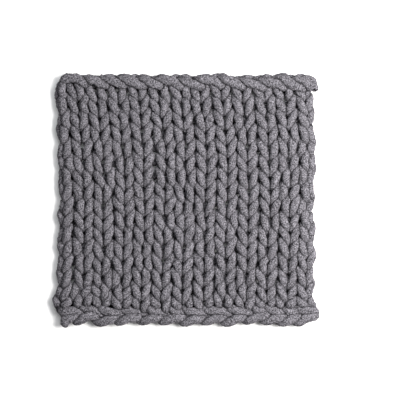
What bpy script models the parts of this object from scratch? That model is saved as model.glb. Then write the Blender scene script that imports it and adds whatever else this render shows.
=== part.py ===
"""A chunky hand-knitted blanket, 0.61 by 0.59 m, lying flat with its plain (knit) face up.

It is one piece, knitted from one soft yarn about 22 mm thick: 13 wales by 16 courses of V-shaped
stitches between a bind-off chain along the top edge (+Y) and a cast-on chain along the bottom edge (-Y).

The solid is one closed surface. Its upper side is a net of points whose lines follow the stitches: each leg
of a V is a ridge of three by three cells, each link of an edge chain a slanting ridge. The underside is the
flat face on which the blanket rests. Origin: middle of the underside. Units: metres, +Z up.

Run with: blender --background --python part.py
"""

import math

import bmesh
import bpy

MM = 0.001

# Driving sizes
WALES = 13
COURSES = 16
HALF_LENGTH = 293 * MM  # from the middle to the outer edge of each edge chain
FIELD_TOP = 255 * MM  # where the stitches meet the bind-off chain
FIELD_LOW = -254 * MM  # where they meet the cast-on chain
COURSE = (FIELD_TOP - FIELD_LOW) / COURSES

# Heights above the floor
LEG_CREST = 34 * MM
LEG_END = 27 * MM  # the crease where one leg tucks under the next
CREVICE = 20 * MM  # between two legs side by side
PIT = 12 * MM  # the dark pit where four legs meet
EDGE = 13 * MM  # the widest line of the outer strands
UNDER_EDGE = 4 * MM

# How the stitches lie
CHEVRON = 19 * MM  # how much lower a V's middle lies than its two tips
LEAN = (5 * MM, 2.5 * MM)  # how far a left and a right leg reach outwards at their upper end
TWIST = (2 * MM, 1 * MM)  # how much higher the outer half is there, and the inner half at the lower end
PLUMP = 1.5 * MM  # most difference in height between crests
STRAY = 3.5 * MM  # most that a stitch lies above or below its course
CREST_SHARE = 0.85  # height of the outermost legs, which curl under

# Edge chains
CHAIN_SLANT = 30 * MM  # how far a link's outer end lies to the left of its inner end
CHAIN_BEND = 70 * MM  # over which the slant fades out at the two corners
CHAIN_HEIGHTS = (20 * MM, 35 * MM, 38 * MM, 31 * MM, EDGE)  # from the stitches to the outer edge
CHAIN_DIP = 0.36  # share of the height lost between two links
SCALLOP = 5 * MM  # how far a link stands out past the notch beside it
BIND_OFF_CORNERS = (20 * MM, 12 * MM)  # radius of the left and of the right corner
CAST_ON_CORNERS = (30 * MM, 34 * MM)

# Net of points
LEG_LINES = (0, 0.27, 0.73)  # where the lines run across one leg, and also along it
LEG_CELLS = len(LEG_LINES)
CHAIN_CELLS = len(CHAIN_HEIGHTS) - 1
RIM_INSETS = ((3 * MM, UNDER_EDGE), (9 * MM, 0.0))  # inset and height of the two lines below the edge

# Where each wale's middle runs: x in mm at four heights of the panel, from the left wale to the right one
WALE_HEIGHTS = (249, 116, -69, -245)
WALE_MIDDLES = (
    # top, upper, lower, bottom
    (-291, -284, -281, -283),
    (-253, -237, -233, -237),
    (-206, -191, -189, -193),
    (-161, -143, -141, -148),
    (-113, -98, -98, -102),
    (-65, -47, -51, -56),
    (-14, -1, -5, -7),
    (33, 47, 43, 40),
    (80, 93, 93, 87),
    (126, 138, 142, 135),
    (176, 189, 190, 182),
    (225, 236, 237, 228),
    (273, 281, 280, 277),
)

# Where the two selvedges run, in mm
SELVEDGES = (
    # height, left x, right x
    (290, -297, 303),
    (262, -299, 302),
    (200, -296, 293),
    (90, -294, 299),
    (-20, -292, 292),
    (-115, -296, 299),
    (-200, -299, 294),
    (-243, -305, 303),
    (-290, -302, 300),
)
SELVEDGE_BUMP = 4 * MM  # every second course stands out by this much

# Where one chain link ends and the next begins, x in mm halfway between its outer and inner end
BIND_OFF_LINKS = (-305, -240, -201, -162, -113, -72, -23, 23, 72, 116, 164, 208, 249, 305)
CAST_ON_LINKS = (-305, -245, -203, -152, -104, -51, -5, 42, 90, 143, 187, 224, 261, 305)


def uneven(*key):
    """A repeatable uneven number from -1 to 1 for a stitch, so that no two stitches are alike."""
    mixed = sum(part * weight for part, weight in zip(key, (12.9898, 78.233, 37.719)))
    return 2 * (math.sin(mixed) * 43758.5453 % 1) - 1


def smooth(share):
    """0 to 1 with a soft start and end."""
    share = min(max(share, 0), 1)
    return share * share * (3 - 2 * share)


def through(points, at):
    """The value at `at` of a soft curve through (place, value) points, listed from high to low."""
    for (high, above), (low, below) in zip(points, points[1:]):
        if at >= low:
            break
    return below + (above - below) * smooth((at - low) / (high - low))


def wale_middle(wale, y):
    """x of a wale's middle line: the cubic curve through its four places."""
    heights = [height * MM for height in WALE_HEIGHTS]
    x = 0
    for i, here in enumerate(heights):
        weight = 1
        for other in heights[:i] + heights[i + 1 :]:
            weight *= (y - other) / (here - other)
        x += weight * WALE_MIDDLES[wale][i] * MM
    return x


def selvedge(side, y):
    """x of the outer edge, side 0 for the left one and 1 for the right one."""
    x = through([(row[0] * MM, row[1 + side] * MM) for row in SELVEDGES], y)
    outwards = 1 if side else -1
    bump = math.cos(math.pi * (y - FIELD_LOW) / COURSE + side)
    return x + outwards * SELVEDGE_BUMP * (0.5 * bump - 0.5)


def wale_side(index, y):
    """x of the crevice on the left of wale `index`; 0 and WALES are the selvedges."""
    if index == 0:
        return selvedge(0, y)
    if index == WALES:
        return selvedge(1, y)
    return (wale_middle(index - 1, y) + wale_middle(index, y)) / 2


def across(column, y):
    """x of a line of the net at a height, and where it lies: wale, leg 0 or 1, cell in the leg."""
    wale, rest = divmod(column, 2 * LEG_CELLS)
    if wale == WALES:
        return selvedge(1, y), (WALES, 0, 0)
    leg, cell = divmod(rest, LEG_CELLS)
    left, middle, right = wale_side(wale, y), wale_middle(wale, y), wale_side(wale + 1, y)
    start, end = (left, middle) if leg == 0 else (middle, right)
    return start + (end - start) * LEG_LINES[cell], (wale, leg, cell)


def course_line(line, column):
    """y of the line between two courses where it meets a line of the net: a zigzag of V shapes."""
    wale, rest = divmod(column, 2 * LEG_CELLS)
    leg, cell = divmod(rest, LEG_CELLS)
    share = (leg + LEG_LINES[cell]) / 2
    side = abs(2 * share - 1)
    other = wale if share < 0.5 else wale + 1
    stray = STRAY * (side * uneven(other, line, 1) + (1 - side) * uneven(wale, line, 2))
    inner = 0 < line < COURSES
    return FIELD_LOW + line * COURSE + inner * (CHEVRON * (side - 0.5) + stray)


def crest_share(wale, leg):
    """Share of the full height that a leg reaches: the outermost two curl under."""
    outermost = (wale == 0 and leg == 0) or (wale == WALES - 1 and leg == 1)
    return CREST_SHARE if outermost else 1


def stitch_point(column, row):
    """A point of the net in the stitches, row 0 at the cast-on chain."""
    course, step = divmod(row, LEG_CELLS)
    low = course_line(course, column)
    y = low
    if step:
        y += (course_line(course + 1, column) - low) * LEG_LINES[step]
    x, (wale, leg, cell) = across(column, y)
    if column in (0, 2 * LEG_CELLS * WALES):
        return x, y, EDGE
    if cell == 0:
        return x, y, CREVICE if step else PIT
    if step == 0:
        return x, y, LEG_END
    upper = 1 if step > 1 else -1
    outwards = 1 if leg else -1
    outer = outwards if cell > 1 else -outwards
    x += outwards * LEAN[leg] * (LEG_LINES[step] - 0.5)
    z = LEG_CREST * crest_share(wale, leg) + PLUMP * uneven(wale, course, leg + step)
    return x, y, z + TWIST[leg] * upper * outer


def corner_drop(from_sides, corners):
    """How much the outer edge of a chain falls back at its two rounded corners."""
    drop = 0
    for from_side, radius in zip(from_sides, corners):
        inside = min(max(1 - from_side / radius, 0), 1)
        drop += radius * (1 - math.sqrt(1 - 0.8 * inside * inside))
    return drop


def ridge(links, x, out):
    """1 on the crest of a chain link and 0 in the notch between two; out is 0 inside, 1 at the edge."""
    middle = x + CHAIN_SLANT * (out - 0.5)
    for start, end in zip(links, links[1:]):
        if middle <= end * MM:
            break
    share = (middle - start * MM) / ((end - start) * MM)
    return math.sin(math.pi * min(max(share, 0), 1)) ** 0.7


def chain_point(column, step, side):
    """A point of the net in an edge chain, step 0 at the stitches; side is 1 at the top, -1 below."""
    top = side > 0
    links = BIND_OFF_LINKS if top else CAST_ON_LINKS
    corners = BIND_OFF_CORNERS if top else CAST_ON_CORNERS
    inner_y = FIELD_TOP if top else FIELD_LOW
    out = step / CHAIN_CELLS
    inner_x, _ = across(column, inner_y)
    left, right = selvedge(0, inner_y), selvedge(1, inner_y)
    fade = smooth((inner_x - left) / CHAIN_BEND) * smooth((right - inner_x) / CHAIN_BEND)
    x = inner_x - CHAIN_SLANT * out * fade
    crest = ridge(links, x, out)
    outer_y = HALF_LENGTH - corner_drop((x - left, right - x), corners) - SCALLOP * (1 - crest)
    y = inner_y + (side * outer_y - inner_y) * out
    if column in (0, 2 * LEG_CELLS * WALES):
        return selvedge(min(column, 1), y), y, EDGE
    z = CHAIN_HEIGHTS[step]
    if step < CHAIN_CELLS:
        z *= 1 - CHAIN_DIP * (1 - crest)
    return x, y, z


def upper_side():
    """Rows of points over the whole upper side, from the cast-on edge to the bind-off edge."""
    columns = range(2 * LEG_CELLS * WALES + 1)
    rows = []
    for step in range(CHAIN_CELLS, 0, -1):
        rows.append([chain_point(column, step, -1) for column in columns])
    for row in range(LEG_CELLS * COURSES + 1):
        rows.append([stitch_point(column, row) for column in columns])
    for step in range(1, CHAIN_CELLS + 1):
        rows.append([chain_point(column, step, 1) for column in columns])
    return rows


def outline(rows):
    """The outermost points, anticlockwise seen from above."""
    right = [row[-1] for row in rows[1:-1]]
    left = [row[0] for row in rows[1:-1]]
    return rows[0] + right + rows[-1][::-1] + left[::-1]


def centred(rows):
    """The same points with the middle of their outline over the origin."""
    edge = outline(rows)
    middle = [(max(p[i] for p in edge) + min(p[i] for p in edge)) / 2 for i in range(2)]
    return [[(x - middle[0], y - middle[1], z) for x, y, z in row] for row in rows]


def blanket_mesh():
    """The closed surface: the net on top, two lines rounding the edge, and the flat underside."""
    rows = centred(upper_side())
    shape = bmesh.new()
    net = [[shape.verts.new(point) for point in row] for row in rows]
    for low, high in zip(net, net[1:]):
        for i in range(len(low) - 1):
            shape.faces.new((low[i], low[i + 1], high[i + 1], high[i]))
    line = outline(net)
    half_width = max(vert.co.x for vert in line)
    half_length = max(vert.co.y for vert in line)
    edge = [vert.co.copy() for vert in line]
    for inset, height in RIM_INSETS:
        shrink_x, shrink_y = 1 - inset / half_width, 1 - inset / half_length
        lower = [shape.verts.new((p.x * shrink_x, p.y * shrink_y, height)) for p in edge]
        for i in range(len(line)):
            before = i - 1
            shape.faces.new((line[before], lower[before], lower[i], line[i]))
        line = lower
    shape.faces.new(line[::-1])
    bmesh.ops.triangulate(shape, faces=shape.faces[:], quad_method="SHORT_EDGE")
    bmesh.ops.recalc_face_normals(shape, faces=shape.faces[:])
    mesh = bpy.data.meshes.new("blanket")
    shape.to_mesh(mesh)
    shape.free()
    mesh.shade_smooth()
    return mesh


def yarn_material():
    """Matt grey chenille yarn."""
    material = bpy.data.materials.new("grey_chenille")
    material.use_nodes = True
    shader = material.node_tree.nodes["Principled BSDF"]
    shader.inputs["Base Color"].default_value = (0.23, 0.22, 0.25, 1)
    shader.inputs["Roughness"].default_value = 0.95
    shader.inputs["Metallic"].default_value = 0
    return material


def main():
    for old in list(bpy.data.objects):
        bpy.data.objects.remove(old)
    blanket = bpy.data.objects.new("blanket", blanket_mesh())
    blanket.data.materials.append(yarn_material())
    bpy.context.scene.collection.objects.link(blanket)


main()
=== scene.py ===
"""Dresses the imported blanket: one long chenille yarn, knitted loop by loop and pulled tight.

The yarn is worked in millimetres, in the frame of the solid: +X to the right, +Y towards the
bind-off chain, +Z up from the floor. Its path is laid as loose loops in knitting order, settled
so that the strands touch, and swept to a soft tube.
"""

import math

import bpy
import numpy as np
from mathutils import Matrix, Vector, kdtree

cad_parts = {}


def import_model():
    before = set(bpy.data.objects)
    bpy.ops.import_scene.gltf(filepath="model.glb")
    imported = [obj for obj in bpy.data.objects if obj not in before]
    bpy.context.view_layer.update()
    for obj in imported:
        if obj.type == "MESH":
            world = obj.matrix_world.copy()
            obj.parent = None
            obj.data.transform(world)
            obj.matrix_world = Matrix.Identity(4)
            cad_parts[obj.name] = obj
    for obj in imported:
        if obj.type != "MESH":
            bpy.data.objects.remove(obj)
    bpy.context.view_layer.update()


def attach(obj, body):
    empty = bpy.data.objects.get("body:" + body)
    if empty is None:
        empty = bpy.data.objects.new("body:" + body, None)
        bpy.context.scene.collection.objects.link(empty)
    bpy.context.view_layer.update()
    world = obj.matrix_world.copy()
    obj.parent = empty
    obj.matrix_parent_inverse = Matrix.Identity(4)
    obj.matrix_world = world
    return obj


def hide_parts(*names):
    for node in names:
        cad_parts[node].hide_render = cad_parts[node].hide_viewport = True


MM = 0.001
TINY = 1e-9

# the mix that makes uneven numbers
MIX = (12.9898, 78.233, 37.719)
MIX_SCALE = 43758.5453

# the photograph's frame
FRAME_PIXELS = 400
PIXEL = 2.31
MIDDLE_PIXEL = 186
CAMERA_HEIGHT = 2600.0
SENSOR = 36.0

# the knitted panel
WALES = 13
COURSES = 16
COURSE = 32.93
FIRST_COURSE = -245.0
WIDTH = 600.0

# columns of x at the heights of WALE_HEIGHTS
WALE_HEIGHTS = (249, 116, -69, -245)
WALE_MIDDLES = (
    (-298, -286, -283, -287),
    (-253, -237, -233, -237),
    (-206, -191, -189, -193),
    (-161, -143, -141, -148),
    (-113, -98, -98, -102),
    (-65, -47, -51, -56),
    (-14, -1, -5, -7),
    (33, 47, 43, 40),
    (80, 93, 93, 87),
    (126, 138, 142, 135),
    (176, 189, 190, 182),
    (225, 236, 237, 228),
    (273, 281, 280, 277),
)

# y, left edge, right edge
SELVEDGES = (
    (292, -278, 302),
    (273, -291, 299),
    (254, -297, 302),
    (236, -296, 297),
    (200, -293, 293),
    (90, -291, 299),
    (-20, -289, 292),
    (-115, -293, 299),
    (-200, -295, 294),
    (-226, -303, 294),
    (-245, -301, 304),
    (-263, -293, 306),
    (-282, -284, 288),
    (-292, -277, 276),
)

# where one chain link ends and the next begins
BIND_OFF_LINKS = (-291, -240, -201, -162, -113, -72, -23, 23, 72, 116, 164, 208, 248, 290)
CAST_ON_LINKS = (-291, -245, -203, -152, -104, -51, -5, 42, 90, 143, 187, 224, 259, 289)

# one loop of plain knit
STEPS = 24
HALF_LOOP = 34.0
HALF_FIRST_LOOP = 14.0
FIRST_COURSE_RISE = 8.0
HALF_EDGE_WALE = 15.0
CREST_Z = 29.0
EDGE_CREST_Z = 19.0
BACK_Z = 8.5
# how far the legs lean out, in wale widths: left below, left above, right above, right below
LEG_SPREAD = (0.15, 0.17, 0.155, 0.15)
SPREAD_STRAY = 0.55
STRAY_ACROSS = 2.8
STRAY_ALONG = 5.2
STRAY_UP = 2.2
# slow waves of a course: height, turn for each wale, turn for each course, start
WAVES = ((2.0, 1.7, 0.0, 0.5), (1.5, 0.9, 0.35, 0.0))
# x outwards, y and z from the last point of a course
SELVEDGE_TURN = ((5, 8, 4), (9, 16, 5), (5, 24, 4))
TURN_FACE = 0.6
BULGE = 3.5

# the two edge chains
# y, tilt: at the left and at the right end of the chain
# way: 1 where the links point to the right, -1 where they point to the left
# width, reach, depth: half of a link's size across, along and through the chain
# turn: how much of a full loop is there
# spread: how far the strands lean out
# back: how much of the width the lower strand keeps
# roll, stray: the most that a link turns, in degrees, and moves
CHAIN_STEPS = 26
CHAIN_SPREAD_STRAY = 0.15
CAST_ON = {
    "y": (-261.0, -261.0), "z": 19.0, "tilt": (14, 14), "way": -1,
    "width": 18.5, "reach": 36.5, "depth": 8.0, "turn": 0.86,
    "spread": 0.36, "back": 0.85, "roll": 14.0, "stray": 4.0,
}
BIND_OFF = {
    "y": (272.0, 267.0), "z": 20.0, "tilt": (92, 58), "way": 1,
    "width": 17.0, "reach": 40.0, "depth": 5.5, "turn": 0.7,
    "spread": 0.5, "back": 0.55, "roll": 9.0, "stray": 2.5,
}

# x, y and z of the yarn between the cast-on chain and the first course
CAST_ON_TIE = ((-286, -262, 10), (-292, -262, 9))
# x from the wale's middle, y and z of the yarn under the bind-off chain, before and after a link
BIND_OFF_TIE = ((-20, 249, 8), (-12, 253, 9))
BIND_OFF_RETURN = (8, 253, 9)

# the yarn: on the face and at the back its thickness and how close it lets another strand come
RADIUS_FACE = 9.0
RADIUS_BACK = 7.4
FACE_POWER = 1.3
CHAIN_FACE_POWER = 0.8
CAST_ON_SWELL = 1.14
BIND_OFF_SWELL = 1.16
TOUCH_FACE = 8.9
TOUCH_BACK = 4.4
SQUASH = 0.8
STITCH_YARN = 172.0

# settling: each round draws the points home, evens out their distances and pushes strands apart
ROUNDS = 200
FIRM_ROUNDS = 140
LATE_HOLD = 0.5
HOLD_FACE = 0.36
HOLD_BACK = 0.07
HOLD_POWER = 2
TOUCH_POWER = 3
STIFFNESS = 0.08
PULL = 0.4
PUSH = 0.9
CROWD_POWER = 0.6
LENGTH_SPAN = 17
NEW_PAIRS_EVERY = 15
PAIR_RANGE = 21.0
NEIGHBOURS = 2
OWN_STRETCH = 28.0
SIDE_ROOM = 10.5
TOP_LIMIT = 284.0
BOTTOM_LIMIT = -281.0
CEILING = 32.5
LIMIT_PULL = 0.4
CEILING_PULL = 0.5
FLOOR_SHARE = 0.95

# the swept tube
CURVE_STEPS = 6
RING_SPACING = 3.3
SIDES = 20
PILE = 1.0
SWELL = 0.06
SWELL_RINGS = 9
SEED = 11

# painted shade of sunken places, darker the deeper a point lies, on a grid of square cells
CELL = 2.0
MARGIN = 10
SOFT_CELLS = 4
SOFT_TURNS = 2
DEPTH_START = 1.5
FULL_DEPTH = 6.0

# painted shade in the creases between two strands
CREASE = 4.4
CREASE_STEP = 2
CREASE_RELIEF = 2.5
CREASE_SHADE = 0.97
CREASE_POWER = 1.2

# the chenille: place on the ramp of the flecks and colour
FLECKS = (
    (0.38, (0.013, 0.0125, 0.014, 1)),
    (0.47, (0.076, 0.073, 0.082, 1)),
    (0.66, (0.245, 0.235, 0.263, 1)),
)
# scale, detail, roughness of each noise
FLECK_NOISE = (400, 3, 0.65)
PATCH_NOISE = (26, 2, 0.5)
PILE_NOISE = (620, 2, 0.5)
PATCH_RANGE = (0.86, 1.14)
# painted shade: the colour's factor at a clear point and at the deepest or most pinched point
SHADE_RANGE = (1.0, 0.006)
TUFT_SCALE = 330
TUFT_WEIGHT = -0.8
PILE_BUMP = 0.002

# the pieces: name, first and last course; the chains are course -1 and course COURSES
PIECES = (
    ("knit_lowest", -1, 3),
    ("knit_lower", 4, 7),
    ("knit_upper", 8, 11),
    ("knit_top", 12, COURSES),
)

# the studio, in metres; each lamp has a name, place, size, power and colour
FLOOR_HALF = 6.0
FLOOR_Z = -0.5 * MM
SKY_STRENGTH = 0.22
LAMPS = (
    ("key", (0.9, 0.15, 1.25), 0.9, 70, (1, 0.985, 0.96)),
    ("top", (0.1, 0.8, 2.0), 1.6, 24, (0.96, 0.98, 1)),
)


def uneven(*key):
    """A fixed number from -1 to 1 for each key. The last part of a key tells its uses apart."""
    mixed = sum(part * weight for part, weight in zip(key, MIX))
    return 2 * (math.sin(mixed) * MIX_SCALE % 1) - 1


def wale_middle(wale, y):
    """Middle line of a wale: the smooth curve through its four measured places."""
    x = 0
    for i, here in enumerate(WALE_HEIGHTS):
        weight = 1
        for j, other in enumerate(WALE_HEIGHTS):
            if j != i:
                weight *= (y - other) / (here - other)
        x += weight * WALE_MIDDLES[wale][i]
    return x


def edges(y):
    """Left and right edge of the blanket at the heights y, bulging where the yarn turns back."""
    rows = SELVEDGES[::-1]
    heights = [row[0] for row in rows]
    sway = -BULGE * np.sin(math.pi * (y - FIRST_COURSE) / COURSE)
    left = np.interp(y, heights, [row[1] for row in rows])
    right = np.interp(y, heights, [row[2] for row in rows])
    return left + sway, right + sway


def knit_loop(wale, course):
    """Points of one loop from left to right, as (x, y, z, how much it shows on the face)."""
    wave = sum(height * math.sin(by_wale * wale + by_course * course + start)
               for height, by_wale, by_course, start in WAVES)
    y = FIRST_COURSE + COURSE * course + wave + STRAY_ALONG * uneven(wale, course, 3)
    if course == 0:
        y += FIRST_COURSE_RISE
    x = wale_middle(wale, y) + STRAY_ACROSS * uneven(wale, course, 4)
    left = (x - wale_middle(wale - 1, y)) / 2 if wale > 0 else HALF_EDGE_WALE
    right = (wale_middle(wale + 1, y) - x) / 2 if wale < WALES - 1 else HALF_EDGE_WALE
    below = HALF_LOOP if course > 0 else HALF_FIRST_LOOP
    points = []
    for k in range(STEPS):
        t = (2 * (k + 0.5) / STEPS - 1) * math.pi
        quarter = 4 * k // STEPS
        half = left if t < 0 else right
        spread = LEG_SPREAD[quarter] * (1 + SPREAD_STRAY * uneven(wale, course, 5 + quarter))
        across = half * (t / math.pi + 2 * spread * math.sin(2 * t))
        along = math.cos(t) * (HALF_LOOP if abs(t) < math.pi / 2 else below)
        face = 0.5 - 0.5 * math.cos(2 * t)
        top = CREST_Z + STRAY_UP * uneven(wale, course, 9 + (t > 0))
        if (wale == 0 and t < 0) or (wale == WALES - 1 and t > 0):
            top = EDGE_CREST_Z
        lean = wale_middle(wale, y + along) - wale_middle(wale, y)
        points.append((x + lean + across, y + along, BACK_Z + (top - BACK_Z) * face, face))
    return points


def chain_loop(start, end, shape):
    """Points of one chain link between two places along x, tilted about the chain's length."""
    way = shape["way"]
    middle = (start + end) / 2
    ends = (-WIDTH / 2, WIDTH / 2)
    degrees = np.interp(middle, ends, shape["tilt"]) + shape["roll"] * uneven(middle, 1)
    tilt = math.radians(degrees)
    middle_y = np.interp(middle, ends, shape["y"]) + shape["stray"] * uneven(middle, 2)
    spread = shape["spread"] * (1 + CHAIN_SPREAD_STRAY * uneven(middle, 3))
    points = []
    for k in range(CHAIN_STEPS):
        t = (2 * (k + 0.5) / CHAIN_STEPS - 1) * math.pi * shape["turn"]
        across = way * shape["width"] * (t / math.pi + 2 * spread * math.sin(2 * t))
        if across > 0:
            across *= shape["back"]
        along = way * shape["reach"] * math.cos(t)
        out = -shape["depth"] * math.cos(2 * t)
        y = middle_y + across * math.cos(tilt) + out * math.sin(tilt)
        z = shape["z"] - across * math.sin(tilt) + out * math.cos(tilt)
        points.append((middle + along, y, z, 0.5 - 0.5 * math.cos(2 * t)))
    return points


def lay_yarn():
    """The whole yarn as it is knitted: its points, how much each shows, and each one's course."""
    points = []
    courses = []

    def add(new, course):
        points.extend(new)
        courses.extend([course] * len(new))

    for link in range(WALES - 1, -1, -1):
        add(chain_loop(CAST_ON_LINKS[link], CAST_ON_LINKS[link + 1], CAST_ON), -1)
    add([(x, y, z, 0) for x, y, z in CAST_ON_TIE], -1)
    for course in range(COURSES):
        back = course % 2 == 1
        wales = range(WALES - 1, -1, -1) if back else range(WALES)
        for wale in wales:
            loop = knit_loop(wale, course)
            add(loop[::-1] if back else loop, course)
        x, y, z, _ = points[-1]
        side = -1 if back else 1
        turn = [(x + side * out, y + along, z + up, TURN_FACE) for out, along, up in SELVEDGE_TURN]
        add(turn, course)
    for link in range(WALES):
        x = wale_middle(link, WALE_HEIGHTS[0])
        add([(x + across, y, z, 0) for across, y, z in BIND_OFF_TIE], COURSES)
        add(chain_loop(BIND_OFF_LINKS[link], BIND_OFF_LINKS[link + 1], BIND_OFF), COURSES)
        if link < WALES - 1:
            across, y, z = BIND_OFF_RETURN
            add([(x + across, y, z, 0)], COURSES)
    table = np.array(points, dtype=float)
    return table[:, :3], table[:, 3], np.array(courses)


def near_pairs(points, arc):
    """Pairs of points that may touch and that aren't neighbours along the yarn."""
    tree = kdtree.KDTree(len(points))
    for i, point in enumerate(points):
        tree.insert(point, i)
    tree.balance()
    pairs = []
    for i, point in enumerate(points):
        for _, j, _ in tree.find_range(point, PAIR_RANGE):
            if j > i + NEIGHBOURS and arc[j] - arc[i] > OWN_STRETCH:
                pairs.append((i, j))
    return np.array(pairs)


def keep_lengths(points, rest):
    """Pulls neighbours along the yarn back to their distance, odd and even stretches in turn."""
    for parity in (0, 1):
        a = np.arange(parity, len(points) - 1, 2)
        gap = points[a + 1] - points[a]
        length = np.linalg.norm(gap, axis=1)
        move = (PULL * (length - rest[a]) / length)[:, None] * gap
        points[a] += move
        points[a + 1] -= move


def push_apart(points, pairs, reach):
    """Moves the strands that overlap away from each other."""
    i, j = pairs.T
    gap = points[j] - points[i]
    length = np.linalg.norm(gap, axis=1) + TINY
    overlap = reach - length
    hit = overlap > 0
    i, j = i[hit], j[hit]
    move = (0.5 * overlap[hit] / length[hit])[:, None] * gap[hit]
    total = len(points)
    count = np.bincount(i, minlength=total) + np.bincount(j, minlength=total)
    share = PUSH / np.maximum(count, 1) ** CROWD_POWER
    for axis in range(3):
        forward = np.bincount(j, weights=move[:, axis], minlength=total)
        backward = np.bincount(i, weights=move[:, axis], minlength=total)
        points[:, axis] += share * (forward - backward)


def stay_inside(points):
    """Keeps the yarn between the blanket's edges and under its top."""
    left, right = edges(points[:, 1])
    inside = np.clip(points[:, 0], left + SIDE_ROOM, right - SIDE_ROOM)
    points[:, 0] += LIMIT_PULL * (inside - points[:, 0])
    points[:, 1] += LIMIT_PULL * (np.clip(points[:, 1], BOTTOM_LIMIT, TOP_LIMIT) - points[:, 1])
    points[:, 2] -= CEILING_PULL * np.maximum(points[:, 2] - CEILING / SQUASH, 0)


def settle(laid, face, courses):
    """Tightens the laid loops until their strands lie against each other."""
    stretch = np.array([1, 1, 1 / SQUASH])
    points = laid * stretch
    home = points.copy()
    laid_length = np.linalg.norm(np.diff(points, axis=0), axis=1)
    extended = np.pad(laid_length, LENGTH_SPAN // 2, mode="edge")
    smooth = np.convolve(extended, np.ones(LENGTH_SPAN) / LENGTH_SPAN, mode="valid")
    in_panel = ((courses >= 0) & (courses < COURSES))[:-1]
    per_stitch = laid_length[in_panel].sum() / (WALES * COURSES)
    rest = smooth * STITCH_YARN / per_stitch
    arc = np.concatenate(([0], np.cumsum(rest)))
    touch = TOUCH_BACK + (TOUCH_FACE - TOUCH_BACK) * face**TOUCH_POWER
    hold = (HOLD_BACK + (HOLD_FACE - HOLD_BACK) * face**HOLD_POWER)[:, None]
    for turn in range(ROUNDS):
        if turn % NEW_PAIRS_EVERY == 0:
            pairs = near_pairs(points, arc)
            reach = touch[pairs[:, 0]] + touch[pairs[:, 1]]
        points += (hold if turn < FIRM_ROUNDS else LATE_HOLD * hold) * (home - points)
        stay_inside(points)
        points[1:-1] += STIFFNESS * ((points[:-2] + points[2:]) / 2 - points[1:-1])
        keep_lengths(points, rest)
        push_apart(points, pairs, reach)
        points[:, 2] = np.maximum(points[:, 2], FLOOR_SHARE * touch)
    return points / stretch


def even_line(points, values, spacing):
    """Evenly spaced points on a smooth curve through the given ones, with their values."""
    ends = np.vstack((2 * points[0] - points[1], points, 2 * points[-1] - points[-2]))
    a, b, c, d = ends[:-3], ends[1:-2], ends[2:-1], ends[3:]
    parts = []
    for t in np.arange(CURVE_STEPS) / CURVE_STEPS:
        square = (2 * a - 5 * b + 4 * c - d) * t**2
        cube = (3 * b - a - 3 * c + d) * t**3
        parts.append(0.5 * (2 * b + (c - a) * t + square + cube))
    curve = np.vstack((np.stack(parts, axis=1).reshape(-1, 3), points[-1:]))
    place = np.linspace(0, len(points) - 1, len(curve))
    fine = np.vstack([np.interp(place, np.arange(len(points)), row) for row in values])
    arc = np.concatenate(([0], np.cumsum(np.linalg.norm(np.diff(curve, axis=0), axis=1))))
    at = np.linspace(0, arc[-1], int(arc[-1] / spacing))
    line = np.stack([np.interp(at, arc, curve[:, axis]) for axis in range(3)], axis=1)
    return line, np.vstack([np.interp(at, arc, row) for row in fine])


def cross_sections(line):
    """Two directions across the line at each point, turning with it as little as possible."""
    ahead = np.gradient(line, axis=0)
    ahead /= np.linalg.norm(ahead, axis=1)[:, None]
    side = np.zeros_like(line)
    first = np.cross(ahead[0], (0, 0, 1))
    side[0] = first / np.linalg.norm(first)
    for i in range(1, len(line)):
        turned = side[i - 1] - ahead[i] * side[i - 1].dot(ahead[i])
        side[i] = turned / math.sqrt(turned.dot(turned))
    return side, np.cross(ahead, side)


def sweep(line, radius, rng):
    """Rings of points round the line, a little flattened, with the lumps of the pile."""
    stretch = np.array([1, 1, 1 / SQUASH])
    side, up = cross_sections(line * stretch)
    angle = np.arange(SIDES) * 2 * math.pi / SIDES
    cosine, sine = np.cos(angle)[None, :, None], np.sin(angle)[None, :, None]
    ring = cosine * side[:, None] + sine * up[:, None]
    rough = radius[:, None] + PILE * rng.uniform(-1, 1, (len(line), SIDES))
    verts = ((line * stretch)[:, None] + rough[..., None] * ring) / stretch
    verts[..., 2] = np.maximum(verts[..., 2], 0)
    return verts


def soften(grid, reach):
    """The grid with each cell averaged over the cells within reach, along one side at a time."""
    for axis in (0, 1):
        sums = np.cumsum(np.insert(grid, 0, 0, axis=axis), axis=axis)
        size = grid.shape[axis]
        low = np.maximum(np.arange(size) - reach, 0)
        high = np.minimum(np.arange(size) + reach + 1, size)
        shape = (-1, 1) if axis == 0 else (1, -1)
        total = np.take(sums, high, axis=axis) - np.take(sums, low, axis=axis)
        grid = total / (high - low).reshape(shape)
    return grid


def painted_shade(verts):
    """How deep each point lies, from 0 to 1: below the face and above the underside about it. This
    sets the painted shade, darker the deeper a point lies.
    """
    x, y, z = verts.reshape(-1, 3).T
    column = ((x - x.min()) / CELL).astype(int) + MARGIN
    row = ((y - y.min()) / CELL).astype(int) + MARGIN
    size = (column.max() + 1 + MARGIN, row.max() + 1 + MARGIN)
    top = np.zeros(size)
    bottom = np.full(size, z.max())
    np.maximum.at(top, (column, row), z)
    np.minimum.at(bottom, (column, row), z)
    for _ in range(SOFT_TURNS):
        top = soften(top, SOFT_CELLS)
        bottom = soften(bottom, SOFT_CELLS)
    depth = np.minimum(top[column, row] - z, z - bottom[column, row]) + DEPTH_START
    return np.clip(depth / FULL_DEPTH, 0, 1).reshape(verts.shape[:2])


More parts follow.
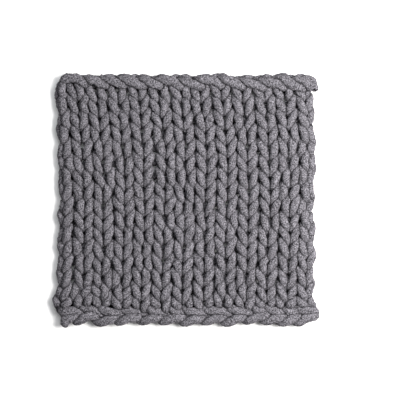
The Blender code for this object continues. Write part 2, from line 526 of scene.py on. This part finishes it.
def pinched(verts, line, radius, relief, spacing):
    """How close each point lies to another strand, from 0, clear, to 1, touching.

    The relief is the room, in millimetres, that a strand further along y gets.
    """
    stretch = np.array([1, 1, 1 / SQUASH])
    centres = line * stretch
    reach = 2 * radius.max() + CREASE
    tree = kdtree.KDTree(len(centres))
    for i in range(0, len(centres), CREASE_STEP):
        tree.insert(centres[i], i)
    tree.balance()
    apart = OWN_STRETCH / spacing
    gap = np.full(verts.shape[:2], CREASE)
    for i, centre in enumerate(centres):
        others = [j for _, j, _ in tree.find_range(centre, reach) if abs(j - i) > apart]
        if others:
            between = (verts[i] * stretch)[:, None] - centres[others][None]
            away = np.linalg.norm(between, axis=2)
            lengthwise = np.abs(between[..., 1]) / (away + 1)
            clear = away - radius[others][None] + relief[i] * lengthwise
            gap[i] = np.minimum(gap[i], clear.min(axis=1))
    return 1 - np.clip(gap / CREASE, 0, 1)


def tube_mesh(name, verts, depth):
    """A closed tube through rings of points, in metres. Each point keeps its painted shade, from
    its depth and its creases.
    """
    rings, sides, _ = verts.shape
    index = np.arange(rings * sides).reshape(rings, sides)
    beside = np.roll(index, -1, axis=1)
    corners = np.stack((index[:-1], beside[:-1], beside[1:], index[1:]), axis=-1)
    quads = corners.reshape(-1, 4).tolist()
    points = (verts.reshape(-1, 3) * MM).tolist()
    for ring, flip in ((0, True), (rings - 1, False)):
        middle = len(points)
        points.append((verts[ring].mean(axis=0) * MM).tolist())
        for a, b in zip(index[ring].tolist(), beside[ring].tolist()):
            quads.append((middle, b, a) if flip else (middle, a, b))
    mesh = bpy.data.meshes.new(name)
    mesh.from_pydata(points, [], quads)
    mesh.shade_smooth()
    # each point's painted shade, darker deep between strands and in creases, for the material
    kept = mesh.attributes.new("painted_shade", "FLOAT", "POINT")
    ends = (depth[0].mean(), depth[-1].mean())
    kept.data.foreach_set("value", np.append(depth.reshape(-1), ends))
    mesh.update()
    return mesh


def add_node(tree, kind, **values):
    """A node with its properties and inputs set by name."""
    node = tree.nodes.new(kind)
    for key, value in values.items():
        if key in node.inputs:
            node.inputs[key].default_value = value
        else:
            setattr(node, key, value)
    return node


def chenille():
    """Short velvety pile in mid grey with darker flecks, and painted shade where the yarn lies deep
    or in a crease.
    """
    material = bpy.data.materials.new("grey_chenille_pile")
    material.use_nodes = True
    tree = material.node_tree
    link = tree.links.new
    shader = tree.nodes["Principled BSDF"]
    shader.inputs["Roughness"].default_value = 0.95
    shader.inputs["Specular IOR Level"].default_value = 0.0
    shader.inputs["Sheen Weight"].default_value = 0.02
    shader.inputs["Sheen Roughness"].default_value = 0.55
    shader.inputs["Sheen Tint"].default_value = (0.75, 0.74, 0.8, 1)
    place = add_node(tree, "ShaderNodeTexCoord").outputs["Object"]

    def noise(scale, detail, roughness):
        node = add_node(tree, "ShaderNodeTexNoise", Scale=scale, Detail=detail, Roughness=roughness)
        link(place, node.inputs["Vector"])
        return node.outputs["Fac"]

    def mapped(value, low, high):
        node = add_node(tree, "ShaderNodeMapRange")
        node.inputs["To Min"].default_value = low
        node.inputs["To Max"].default_value = high
        link(value, node.inputs["Value"])
        return node.outputs["Result"]

    flecks = add_node(tree, "ShaderNodeValToRGB")
    elements = flecks.color_ramp.elements
    dark, grey, light = FLECKS
    elements[0].position, elements[0].color = dark
    elements[1].position, elements[1].color = light
    elements.new(grey[0]).color = grey[1]
    link(noise(*FLECK_NOISE), flecks.inputs["Fac"])

    patches = mapped(noise(*PATCH_NOISE), *PATCH_RANGE)
    # painted shade: the colour darkens where the yarn lies deep between strands or in a crease
    painted_shade_attribute = add_node(tree, "ShaderNodeAttribute", attribute_name="painted_shade")
    shade = mapped(painted_shade_attribute.outputs["Fac"], *SHADE_RANGE)
    both = add_node(tree, "ShaderNodeMath", operation="MULTIPLY")
    link(patches, both.inputs[0])
    link(shade, both.inputs[1])
    tone_and_painted_shade = add_node(tree, "ShaderNodeVectorMath", operation="SCALE")
    link(flecks.outputs["Color"], tone_and_painted_shade.inputs[0])
    link(both.outputs["Value"], tone_and_painted_shade.inputs["Scale"])
    link(tone_and_painted_shade.outputs["Vector"], shader.inputs["Base Color"])

    tufts = add_node(tree, "ShaderNodeTexVoronoi", Scale=TUFT_SCALE, Randomness=1)
    link(place, tufts.inputs["Vector"])
    heights = add_node(tree, "ShaderNodeMath", operation="MULTIPLY_ADD")
    link(tufts.outputs["Distance"], heights.inputs[0])
    heights.inputs[1].default_value = TUFT_WEIGHT
    link(noise(*PILE_NOISE), heights.inputs[2])
    bump = add_node(tree, "ShaderNodeBump", Strength=1.0, Distance=PILE_BUMP)
    link(heights.outputs["Value"], bump.inputs["Height"])
    link(bump.outputs["Normal"], shader.inputs["Normal"])
    return material


def plain_white():
    """Matt white for the floor."""
    material = bpy.data.materials.new("white_floor")
    material.use_nodes = True
    shader = material.node_tree.nodes["Principled BSDF"]
    shader.inputs["Base Color"].default_value = (0.97, 0.97, 0.97, 1)
    shader.inputs["Roughness"].default_value = 0.9
    shader.inputs["Specular IOR Level"].default_value = 0.1
    return material


def add_floor():
    """A wide floor that the blanket lies on."""
    mesh = bpy.data.meshes.new("floor")
    signs = ((-1, -1), (1, -1), (1, 1), (-1, 1))
    corners = [(x * FLOOR_HALF, y * FLOOR_HALF, FLOOR_Z) for x, y in signs]
    mesh.from_pydata(corners, [], [(0, 1, 2, 3)])
    mesh.materials.append(plain_white())
    floor = bpy.data.objects.new("floor", mesh)
    bpy.context.scene.collection.objects.link(floor)


def add_camera(x):
    """Looks straight down on the blanket from above x, with a lens for the photograph's scale."""
    data = bpy.data.cameras.new("camera")
    data.sensor_width = SENSOR
    data.lens = SENSOR * CAMERA_HEIGHT / (FRAME_PIXELS * PIXEL)
    camera = bpy.data.objects.new("camera", data)
    camera.location = (x * MM, 0, CAMERA_HEIGHT * MM)
    bpy.context.scene.collection.objects.link(camera)
    bpy.context.scene.camera = camera


def add_lamp(name, place, size, power, colour):
    """A large soft lamp that shines on the middle of the blanket."""
    data = bpy.data.lights.new(name, "AREA")
    data.shape = "SQUARE"
    data.size = size
    data.energy = power
    data.color = colour
    lamp = bpy.data.objects.new(name, data)
    lamp.location = place
    lamp.rotation_euler = (-Vector(place)).to_track_quat("-Z", "Y").to_euler()
    bpy.context.scene.collection.objects.link(lamp)


def add_light():
    """Soft studio light, strongest from the right."""
    world = bpy.data.worlds.new("studio")
    world.use_nodes = True
    sky = world.node_tree.nodes["Background"]
    sky.inputs["Color"].default_value = (1, 1, 1, 1)
    sky.inputs["Strength"].default_value = SKY_STRENGTH
    bpy.context.scene.world = world
    for lamp in LAMPS:
        add_lamp(*lamp)


def add_pieces(verts, depth, courses):
    """The yarn in pieces, each of which runs on to the first ring of the next."""
    material = chenille()
    for name, low, high in PIECES:
        rings = np.flatnonzero((courses >= low) & (courses <= high))
        last = min(rings[-1] + 2, len(verts))
        mesh = tube_mesh(name, verts[rings[0]:last], depth[rings[0]:last])
        mesh.materials.append(material)
        piece = bpy.data.objects.new(name, mesh)
        bpy.context.scene.collection.objects.link(piece)
        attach(piece, "root")
        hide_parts("blanket")


def knitted():
    """The finished yarn: its rings of points, how much painted shade each point gets, and each
    ring's course.
    """
    laid, face, courses = lay_yarn()
    settled = settle(laid, face, courses)
    line, (shown, level) = even_line(settled, (face, courses), RING_SPACING)
    rng = np.random.default_rng(SEED)
    knots = np.arange(0, len(line) + SWELL_RINGS, SWELL_RINGS)
    swell = np.interp(np.arange(len(line)), knots, rng.uniform(-1, 1, len(knots)))
    cast_on, bind_off = level < -0.5, level > COURSES - 0.5
    power = np.where(cast_on | bind_off, CHAIN_FACE_POWER, FACE_POWER)
    radius = RADIUS_BACK + (RADIUS_FACE - RADIUS_BACK) * shown**power
    thicker = np.select([cast_on, bind_off], [CAST_ON_SWELL, BIND_OFF_SWELL], 1)
    radius *= (1 + SWELL * swell) * thicker
    verts = sweep(line, radius, rng)
    # painted shade: darker deep in the fabric and in the creases where strands touch
    relief = np.where(bind_off, 0, CREASE_RELIEF)
    creases = pinched(verts, line, radius, relief, RING_SPACING) ** CREASE_POWER
    depth = 1 - (1 - painted_shade(verts)) * (1 - CREASE_SHADE * creases)
    return verts, depth, np.round(level).astype(int)


def main():
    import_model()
    bpy.context.scene.view_settings.view_transform = "Standard"

    verts, depth, courses = knitted()
    middle = (verts.min(axis=(0, 1)) + verts.max(axis=(0, 1))) / 2
    verts[..., :2] -= middle[:2]

    add_camera((FRAME_PIXELS / 2 - MIDDLE_PIXEL) * PIXEL - middle[0])
    add_floor()
    add_light()
    add_pieces(verts, depth, courses)


main()
